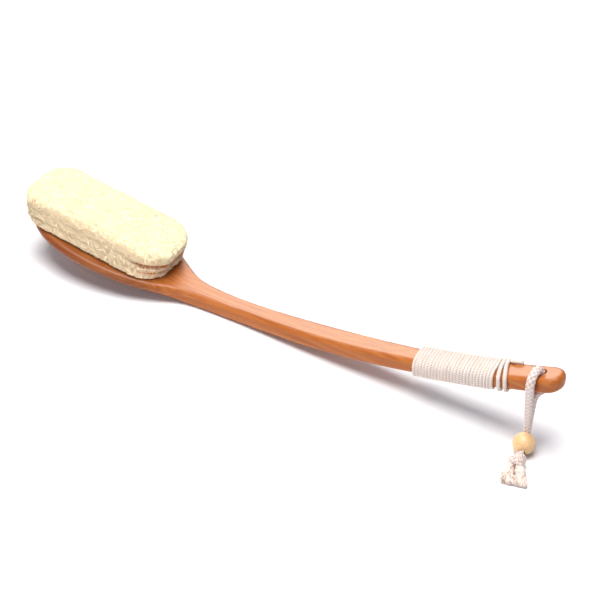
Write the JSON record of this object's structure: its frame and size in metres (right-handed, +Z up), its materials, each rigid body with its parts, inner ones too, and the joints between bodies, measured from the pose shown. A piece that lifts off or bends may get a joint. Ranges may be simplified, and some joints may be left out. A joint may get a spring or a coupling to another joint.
{
  "type": "loofah back scrubber",
  "caption": "Long curved wooden bath scrubber with a padded loofah head, a cord-bound grip and a hanging loop with a sliding bead and tassel.",
  "frame": {"origin": "on the surface it rests on, below the middle of the length and of the width, measured without the hanging cord", "axes": "+X along the handle from the loofah pad towards the tail with the hanging loop, +Y across, +Z up out of the pad side"},
  "size_m": [0.4237, 0.0845, 0.0603],
  "materials": {
    "wood": "satin",
    "glue": "matte",
    "loofah": "matte",
    "loofah_core": "matte",
    "twine": "matte",
    "cord": "matte",
    "bead_wood": "satin"
  },
  "bodies": {
    "scrubber": {"handle_body": "wood", "pad_adhesive": "glue", "loofah_bottom_layer": "loofah", "loofah_core_layer": "loofah_core", "loofah_top_layer": "loofah", "grip_cord": "twine", "loop_cord_upper": "cord"},
    "loop": {"loop_cord_lower": "cord", "knot": "cord", "tassel": "cord"},
    "bead": {"bead": "bead_wood"}
  },
  "joints": [
    {"name": "loop_swing", "type": "hinge", "parent": "scrubber", "child": "loop", "pos_m": [0.1965, -0.008, 0.0404], "axis": [0, 1, 0], "range_deg": [-50, 40], "deforming": ["loop_cord_lower"]},
    {"name": "bead_slide", "type": "slide", "parent": "loop", "child": "bead", "axis": [0, 0.307, 0.9517], "range_m": [0, 0.018], "deforming": ["loop_cord_lower"]}
  ]
}
